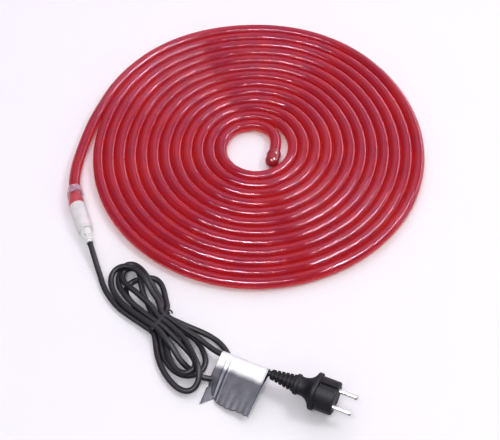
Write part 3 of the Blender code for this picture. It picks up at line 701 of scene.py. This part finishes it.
def through_tie(offset, layer, down=True):
    """The two points at which a strand passes the tie, by its place across the waist and its layer."""
    along = np.array([cos(WAIST_HEADING), sin(WAIST_HEADING)])
    across = np.array([-along[1], along[0]])
    ends = [(*(np.array(WAIST) * 1000 + along * reach + across * offset), TIE_LEVELS[layer])
            for reach in (-TIE_REACH, TIE_REACH)]
    return ends if down else ends[::-1]


def lead_route():
    """The lead's whole route: nine strands pass the tie, each loop leading to the next."""
    return np.array(
        FROM_CONNECTOR + through_tie(-10.9, "lower") + LOWER_LONG_LOOP
        + through_tie(2.7, "upper", down=False) + UPPER_SHORT_LOOP
        + through_tie(0.0, "lower") + LOWER_SHORT_LOOP
        + through_tie(-2.7, "upper", down=False) + UPPER_LONG_LOOP
        + through_tie(5.45, "lower") + LOWER_WIDE_LOOP
        + through_tie(-5.45, "lower", down=False) + UPPER_RIGHT_LOOP
        + through_tie(10.9, "lower") + OUTER_LOOP
        + through_tie(-8.2, "upper", down=False) + UPPER_LEFT_LOOP
        + through_tie(8.2, "upper") + TO_PLUG) / 1000


def settled(path, rounds, width, floor):
    """Strands laid on each other: points closer than the lead's width push apart, mostly up and down.

    Each push is half of the overlap, shared out along the lead, and no point goes below the floor. Points
    that start further apart than a reach, or are less than six points apart along the lead, aren't paired.
    """
    reach = 2.6 * width
    near = np.linalg.norm(path[:, None] - path[None], axis=2) < reach
    first, second = np.nonzero(np.triu(near, 6))
    shift = np.zeros_like(path)
    for _ in range(rounds):
        points = path + shift
        apart = points[first] - points[second]
        distance = np.linalg.norm(apart, axis=1) + 1e-9
        push = apart * (np.maximum(0.0, width - distance) / distance)[:, None] * PUSH_SHARES
        close = distance < width
        total = np.zeros_like(path)
        np.add.at(total, first, push)
        np.subtract.at(total, second, push)
        touching = np.maximum(1, np.bincount(first[close], minlength=len(path))
                              + np.bincount(second[close], minlength=len(path)))
        total[[0, 1, -2, -1]] = 0.0
        shift = blurred(shift + 0.5 * total / touching[:, None], passes=2)
        shift[:4] = shift[-3:] = 0.0
        shift[:, 2] = np.maximum(shift[:, 2], floor - path[:, 2])
    return path + shift


def make_lead(on_it):
    """The black lead as one round tube, from the strain relief through the tied hank into the plug."""
    path = blurred(even_path(lead_route(), step=0.0030), passes=7)
    path = even_path(settled(path, rounds=300, width=2 * LEAD_RADIUS, floor=LEAD_RADIUS), step=0.0016)
    rings = tube_rings(path, LEAD_RADIUS, sides=14)
    lead = rings_piece("lead", rings, black_lead_sheath(), lay=lengths_along(path))
    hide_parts("lead_from_connector", "lead_hank", "lead_outer_loop", "lead_to_plug")


# Connector

# Points of the connector's straight axis, by their distance from the sleeve's mouth in metres
STRAIGHT_POINTS = (BARREL_START, 0.0360, 0.0500, 0.0640)

# Profiles of the connector's pieces: (radius, distance from the sleeve's mouth) in metres
SLEEVE_PROFILE = [
    (0.00690, 0.0), (0.00740, 0.0030), (0.00860, 0.0090), (0.00882, 0.0160), (0.00882, 0.0254),
    (0.00882, 0.0625), (0.00915, 0.0627), (0.00945, 0.0625), (0.00945, 0.0254), (0.00945, 0.0160),
    (0.00920, 0.0090), (0.00800, 0.0030), (0.00745, 0.0),
]
FLARE_PROFILE = [
    (0.0, 0.0150), (0.0060, 0.0150), (0.0060, 0.0112), (0.0068, 0.0116), (0.0077, 0.0150), (0.0083, 0.0190),
    (0.0085, 0.0225), (0.0085, 0.0248), (0.0081, 0.0251), (0.0, 0.0251),
]
BARREL_PROFILE = [
    (0.0, 0.0602), (0.0067, 0.0602), (0.0067, 0.0625), (0.0073, 0.0625), (0.0083, 0.0619), (0.0085, 0.0611),
    (0.0085, 0.0269), (0.0083, 0.0258), (0.0076, 0.0254), (0.0068, 0.0254), (0.0068, 0.0334), (0.0, 0.0334),
]
RELIEF_PROFILE = [
    (0.0, 0.0606), (0.0064, 0.0606), (0.0064, 0.0640), (0.0062, 0.0647), (0.0044, 0.0795), (0.0041, 0.0803),
    (0.0036, 0.0805), (0.0034, 0.0801), (0.0034, 0.0775), (0.0, 0.0775),
]

# Grooves round the barrel: distance from the sleeve's mouth, width and depth
BARREL_GROOVES = [
    (0.0322, 0.00035, 0.00045), (0.0478, 0.00035, 0.0005), (0.0508, 0.00030, 0.0004),
    (0.0546, 0.00035, 0.0004), (0.0605, 0.00060, 0.0005),
]

# Rows of slots in the strain relief, by distance from the sleeve's mouth, and where a slot's edge slopes
SLOT_ROWS = (0.0712, 0.0746, 0.0776)
SLOT_EDGES = (0.00072, 0.00045)
SLOTS_ROUND = 6.0
SLOT_DEPTH = 0.0022


def sleeve_folds(height, angle, _radius):
    """Folds round the sleeve's neck: three slanting sines, fading out where the barrel fills it."""
    folds = (np.sin(height * 2600 + 2.0 * angle) + 0.7 * np.sin(height * 1500 - 3.0 * angle + 1.0)
             + 0.6 * np.sin(5.0 * angle + height * 500))
    return 0.00014 * folds * ease(height, 0.0, 0.002) * ease(height, 0.026, 0.020)


def make_sleeve(axis):
    """Clear tube of two walls, an outer one and an inner one, about the connector's bent axis."""
    rings = bent_rings(SLEEVE_PROFILE, step=0.0006, sides=72, path=axis, relief=sleeve_folds)
    sleeve = rings_piece("sleeve", rings, clear_shrink_sleeve(), closed=True,
                         lay=profile(SLEEVE_PROFILE, step=0.0006)[:, 1])
    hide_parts("clear_sleeve")


def make_flare(axis, red):
    """The rope's end, spread where it meets the barrel inside the sleeve."""
    rings = bent_rings(FLARE_PROFILE, step=0.0008, sides=56, path=axis)
    rings_piece("rope_flare", rings, red, crease=50.0)


def barrel_grooves(height, _angle, radius):
    """Four shallow grooves round the barrel's outside, and a wide one before its end: bell curves."""
    cut = sum(np.exp(-((height - at) / wide) ** 2) * deep for at, wide, deep in BARREL_GROOVES)
    return -cut * (radius > 0.0080)


def make_barrel(matrix, white):
    """White barrel, turned, with its grooves."""
    rings = turned_rings(BARREL_PROFILE, step=0.00025, sides=64, matrix=matrix, relief=barrel_grooves)
    barrel = rings_piece("barrel", rings, white)
    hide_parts("connector_barrel")


def relief_slots(height, angle, radius):
    """Three rows of six slots each: a step in height times a step in the cosine of six times the angle."""
    wide = ease(np.cos(SLOTS_ROUND * angle), -0.10, -0.45)
    cut = sum(ease(np.abs(height - at), *SLOT_EDGES) * wide for at in SLOT_ROWS)
    return -SLOT_DEPTH * cut * (radius > 0.0038)


def make_relief(matrix, white):
    """White tapered strain relief with its rows of slots."""
    rings = turned_rings(RELIEF_PROFILE, step=0.00020, sides=96, matrix=matrix, relief=relief_slots)
    relief = rings_piece("relief", rings, white)
    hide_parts("strain_relief")


def make_connector(red):
    """Clear shrink sleeve over the rope's spread end, grooved white barrel, and slotted strain relief."""
    matrix = place_along(along_connector(0.0), CONNECTOR_HEADING)
    straight = [along_connector(distance) for distance in STRAIGHT_POINTS]
    axis = even_path(CONNECTOR_BEND + straight, step=0.0008)
    make_sleeve(axis)
    make_flare(axis, red)
    white = white_connector_plastic()
    make_barrel(matrix, white)
    make_relief(matrix, white)


# Tie, label and plug

# Half sizes of the tie's line round the strands, its middle's height, and the radius of its bent ends
TIE_HALF_WIDTH = 0.0147
TIE_HALF_HEIGHT = 0.0061
TIE_MIDDLE = 0.0069
TIE_END_RADIUS = 0.00075

# Half sizes of the tie's ribbon, and the size of the wire's swelling on it
RIBBON_HALF_WIDTH = 0.0024
RIBBON_HALF_THICKNESS = 0.00028
WIRE_HEIGHT = 0.00045
WIRE_WIDTH = 0.0005

# The label's profile across the lead, (sideways, upwards) in metres, on both sides of its turn round the lead
UPPER_PLY = [
    (-0.0480, -0.0107), (-0.0380, -0.0076), (-0.0280, -0.0040), (-0.0190, -0.0016), (-0.0115, 0.0004),
    (-0.0065, 0.0021),
]
LOWER_PLY = [
    (-0.0060, -0.0046), (-0.0120, -0.0050), (-0.0200, -0.0056), (-0.0290, -0.0074), (-0.0380, -0.0096),
    (-0.0475, -0.0125),
]
FOLD_RADIUS = 0.0041
FILM_THICKNESS = 0.00022

# Lowest heights of the label's two plies, and the depth of its cut corner
UPPER_PLY_LOWEST = 0.0008
FILM_LOWEST = 0.0003
CUT_DEPTH = 0.0160

# Creases over the label's fold: distance along it and height
LABEL_CREASES = [(0.0178, 0.0007), (0.0152, -0.0006), (0.0128, 0.0005)]

# Profile of the plug: (radius, distance from the relief's mouth) in metres
PLUG_PROFILE = [
    (0.0, 0.0060), (0.0034, 0.0060), (0.0034, 0.0004), (0.0040, 0.0), (0.0050, 0.0006), (0.0054, 0.0016),
    (0.0056, 0.0030), (0.0090, 0.0262), (0.0100, 0.0266), (0.0107, 0.0274), (0.0107, 0.0300),
    (0.0102, 0.0308), (0.0095, 0.0313), (0.0093, 0.0330), (0.0094, 0.0352), (0.0101, 0.0382),
    (0.0115, 0.0408), (0.0136, 0.0432), (0.0163, 0.0450), (0.0184, 0.0458), (0.0193, 0.0466),
    (0.0195, 0.0478), (0.0195, 0.0498), (0.0191, 0.0507), (0.0182, 0.0511), (0.0172, 0.0512),
    (0.0172, 0.0690), (0.0168, 0.0700), (0.0160, 0.0704), (0.0135, 0.0704), (0.0132, 0.0700), (0.0, 0.0700),
]

# Pitch and depth of the slots between the plug relief's ribs, and where the slots start and end
RIB_PITCH = 0.0044
RIB_SLOT_DEPTH = 0.0016
RIB_SLOTS_START = 0.0030
RIB_SLOTS_END = 0.0250

# Radius of the plug's front body, the grooves along it by angle, half width and depth, and its seam
BODY_RADIUS = 0.0172
BODY_GROOVES = [
    (0.0, 0.0030, 0.0024), (pi, 0.0030, 0.0024), (pi / 2, 0.0033, 0.0018), (-pi / 2, 0.0033, 0.0018),
]
SEAM_PLACE = 0.0452
SEAM_WIDTH = 0.0006
SEAM_DEPTH = 0.0009

# Depth of the pins' roots under the plug's face
PIN_ROOT = 0.0060


def make_tie():
    """Flat wire tie round the waist, and its two bent ends.

    The tie's line round the strands is a squared ellipse: its half sizes times the cosine and the sine, each
    raised to a power with its sign kept. The ribbon's section is another, with a bell curve over the wire.
    """
    finish = black_tie_plastic()
    t = np.linspace(0.0, tau, 120, endpoint=False)
    sideways = TIE_HALF_WIDTH * squared(np.cos(t), 0.62)
    upwards = TIE_MIDDLE + TIE_HALF_HEIGHT * squared(np.sin(t), 0.72)
    loop = np.stack([sideways, upwards, 0.0007 * np.sin(t + 0.5)], 1)
    outward = np.stack([np.cos(t) / TIE_HALF_WIDTH, np.sin(t) / TIE_HALF_HEIGHT, 0.0 * t], 1)
    outward /= np.linalg.norm(outward, axis=1)[:, None]
    u = np.linspace(0.0, tau, 24, endpoint=False)
    wide = RIBBON_HALF_WIDTH * squared(np.cos(u), 0.8)
    wire = np.where(np.sin(u) > 0, WIRE_HEIGHT * np.exp(-(wide / WIRE_WIDTH) ** 2), 0.0)
    thick = RIBBON_HALF_THICKNESS * squared(np.sin(u), 0.6) + wire
    along = np.array([0.0, 0.0, 1.0])
    rings = loop[:, None] + outward[:, None] * thick[None, :, None] + wide[None, :, None] * along
    matrix = place_along((*WAIST, 0.0), WAIST_HEADING)
    band = rings_piece("tie_band", placed(rings, matrix), finish, closed=True)
    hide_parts("twist_tie")
    return [band] + [tie_end(f"tie_end_{number}", route, finish) for number, route in enumerate(TIE_ENDS, 1)]


def tie_end(name, route, finish):
    """One bent end of the tie: a thin tube along its route, its tip rounded by a quarter circle."""
    path = even_path(np.array(route) / 1000, step=0.0004)
    from_tip = np.linspace(1.0, 0.0, len(path))
    radius = TIE_END_RADIUS * np.sqrt(np.clip(1.0 - ramp(from_tip, 0.06, 0.0) ** 2, 0.05, 1.0))
    return rings_piece(name, tube_rings(path, radius, sides=10), finish)


def label_fold():
    """The label's profile, from the upper ply's free edge, round the lead, to the lower ply's free edge."""
    around = np.radians(np.linspace(128.0, -88.0, 14))
    half_turn = [(FOLD_RADIUS * cos(a), FOLD_RADIUS * sin(a)) for a in around]
    return np.array(UPPER_PLY + half_turn + LOWER_PLY)


def make_label():
    """Blank foil label: a film folded round the lead, and a smaller flap beside it."""
    finish = silver_label_foil()
    return [label_film(finish), label_flap(finish)]


def label_film(finish):
    """The label's profile carried along the lead, with creases, buckles, an uneven edge and a cut corner.

    Each point moves along the profile's normal by the buckles, two sines, and the creases, bell curves.
    It moves sideways by the edge's unevenness, two sines, and by the cut, one ramp times another.
    """
    fold = label_fold()
    fold = even_path(np.column_stack([fold, np.zeros(len(fold))]), step=0.0009)[:, :2]
    out = -fold[:, :1]
    across = np.gradient(fold, axis=0)
    across /= np.linalg.norm(across, axis=1)[:, None]
    normal = np.stack([-across[:, 1], across[:, 0]], 1)
    w = np.linspace(-0.5, 0.5, 80)[None] * LABEL_WIDTH
    buckle = 0.00005 * np.sin(w * 330 - out * 90) + 0.00003 * np.sin(w * 610 + out * 160 + 1.2)
    crease = sum(deep * np.exp(-((w + at - out * 0.05) / 0.0007) ** 2) for at, deep in LABEL_CREASES)
    height = buckle * ease(out, 0.004, 0.030) + crease * ease(out, 0.0, 0.012)
    edge = (0.0006 * np.sin(w * 260 + 0.5) + 0.0004 * np.sin(w * 900)) * ease(out, 0.030, 0.048)
    cut = CUT_DEPTH * ramp(w, -0.0092, -0.0270) * ramp(out, 0.022, 0.048)
    local = np.stack([fold[:, :1] + normal[:, :1] * height - edge + cut, fold[:, 1:] + normal[:, 1:] * height,
                      w + 0.0 * out], -1)
    film = placed(local, place_along(LABEL_MIDDLE, LABEL_HEADING, LABEL_RISE))
    # The upper ply, the first half of the profile, stays above the lower one on the floor
    lowest = np.where(np.arange(len(fold)) < len(fold) // 2, UPPER_PLY_LOWEST, FILM_LOWEST)[:, None]
    film[..., 2] = np.maximum(film[..., 2], lowest)
    label = sheet_piece("label", film, finish)
    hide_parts("foil_label")
    return label


def label_flap(finish):
    """The smaller flap: a sheet straight between its corners, with a sine on it, kept above the floor."""
    corners = np.array(LABEL_FLAP) / 1000
    share = np.linspace(0.0, 1.0, 12)[:, None, None]
    beside = np.linspace(0.0, 1.0, 12)[None, :, None]
    left = corners[0] * (1 - share) + corners[1] * share
    right = corners[3] * (1 - share) + corners[2] * share
    sheet = left * (1 - beside) + right * beside
    sheet[..., 2] += 0.0006 * np.sin(share[..., 0] * 5.0 + beside[..., 0] * 3.0) * beside[..., 0]
    sheet[..., 2] = np.maximum(sheet[..., 2], FILM_LOWEST)
    return sheet_piece("label_flap", sheet, finish, reach=0.25)


def sheet_piece(name, grid, finish, reach=1.0):
    """Open grid of points as a film with a Solidify modifier. Its map's first value ends at a reach."""
    rows, columns = grid.shape[:2]
    row, column = np.arange(rows - 1)[:, None], np.arange(columns - 1)[None]
    quads = np.stack([row * columns + column, (row + 1) * columns + column, (row + 1) * columns + column + 1,
                      row * columns + column + 1], -1).reshape(-1, 4)
    mesh = bpy.data.meshes.new(name)
    mesh.from_pydata(grid.reshape(-1, 3).tolist(), [], quads.tolist())
    flat = np.stack([reach * (quads // columns) / (rows - 1), (quads % columns) / (columns - 1)], -1)
    mesh.uv_layers.new(name="lay").data.foreach_set("uv", flat.reshape(-1, 2).ravel())
    item = finished(name, mesh, finish, crease=60.0)
    film = item.modifiers.new("film", "SOLIDIFY")
    film.thickness = FILM_THICKNESS
    film.offset = 0.0
    return item


def plug_carving(height, angle, radius):
    """Slots between the relief's ribs, four grooves along the front body, and a seam before the flange."""
    from_slot = np.abs(((height - RIB_SLOTS_START) / RIB_PITCH) % 1.0 - 0.5) * RIB_PITCH
    slots = ease(from_slot, 0.00105, 0.00075) * (height > RIB_SLOTS_START) * (height < RIB_SLOTS_END)
    slots = RIB_SLOT_DEPTH * slots * (radius > 0.0042) * (radius < 0.0104)
    grooves = 0.0
    for at, wide, deep in BODY_GROOVES:
        away = np.abs((angle - at + pi) % tau - pi) * BODY_RADIUS
        grooves = grooves + deep * ease(away, wide + 0.0005, wide - 0.0004)
    front_body = ease(height, 0.0512, 0.0522) * (radius > 0.0150)
    seam = SEAM_DEPTH * np.exp(-((height - SEAM_PLACE) / SEAM_WIDTH) ** 2) * (radius > 0.0125)
    return -(slots + grooves * front_body + seam)


def make_plug():
    """Rubber plug body with ribs, collar, flared neck, grip flange and grooved face, and its two pins."""
    matrix = place_along(PLUG, PLUG_HEADING)
    rings = turned_rings(PLUG_PROFILE, step=0.00030, sides=120, matrix=matrix, relief=plug_carving)
    body = rings_piece("plug", rings, black_plug_rubber(), crease=45.0)
    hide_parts("plug_body")
    plating = plated_pins()
    return [body] + [make_pin(number, side, matrix, plating) for number, side in ((1, -1), (2, 1))]


def make_pin(number, side, matrix, plating):
    """One round pin with a rounded tip, from its root in the plug's face, on one side of the plug's axis."""
    tip = PIN_ROOT + PIN_LENGTH
    outline = [(0.0, 0.0004), (0.0024, 0.0004), (0.0024, tip - 0.0016), (0.0022, tip - 0.0008),
               (0.0018, tip - 0.0002), (0.0013, tip), (0.0, tip)]
    base = matrix @ Matrix.Translation((side * PIN_SPACING / 2, 0.0, PLUG_LENGTH - PIN_ROOT))
    rings = turned_rings(outline, step=0.0008, sides=32, matrix=base)
    pin = rings_piece(f"pin_{number}", rings, plating, lay=profile(outline, step=0.0008)[:, 1])
    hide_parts(f"plug_pin_{number}")
    return pin


def make_floor():
    """Wide pale floor under everything, reaching four metres each way."""
    mesh = bpy.data.meshes.new("floor")
    mesh.from_pydata([(-4, -4, 0), (4, -4, 0), (4, 4, 0), (-4, 4, 0)], [], [(0, 1, 2, 3)])
    mesh.materials.append(studio_floor())
    item = bpy.data.objects.new("floor", mesh)
    bpy.context.scene.collection.objects.link(item)


make_camera()
make_light()
red_pvc = red_rope_pvc()
make_rope(red_pvc)
make_connector(red_pvc)
make_lead(make_tie() + make_label() + make_plug())
make_floor()
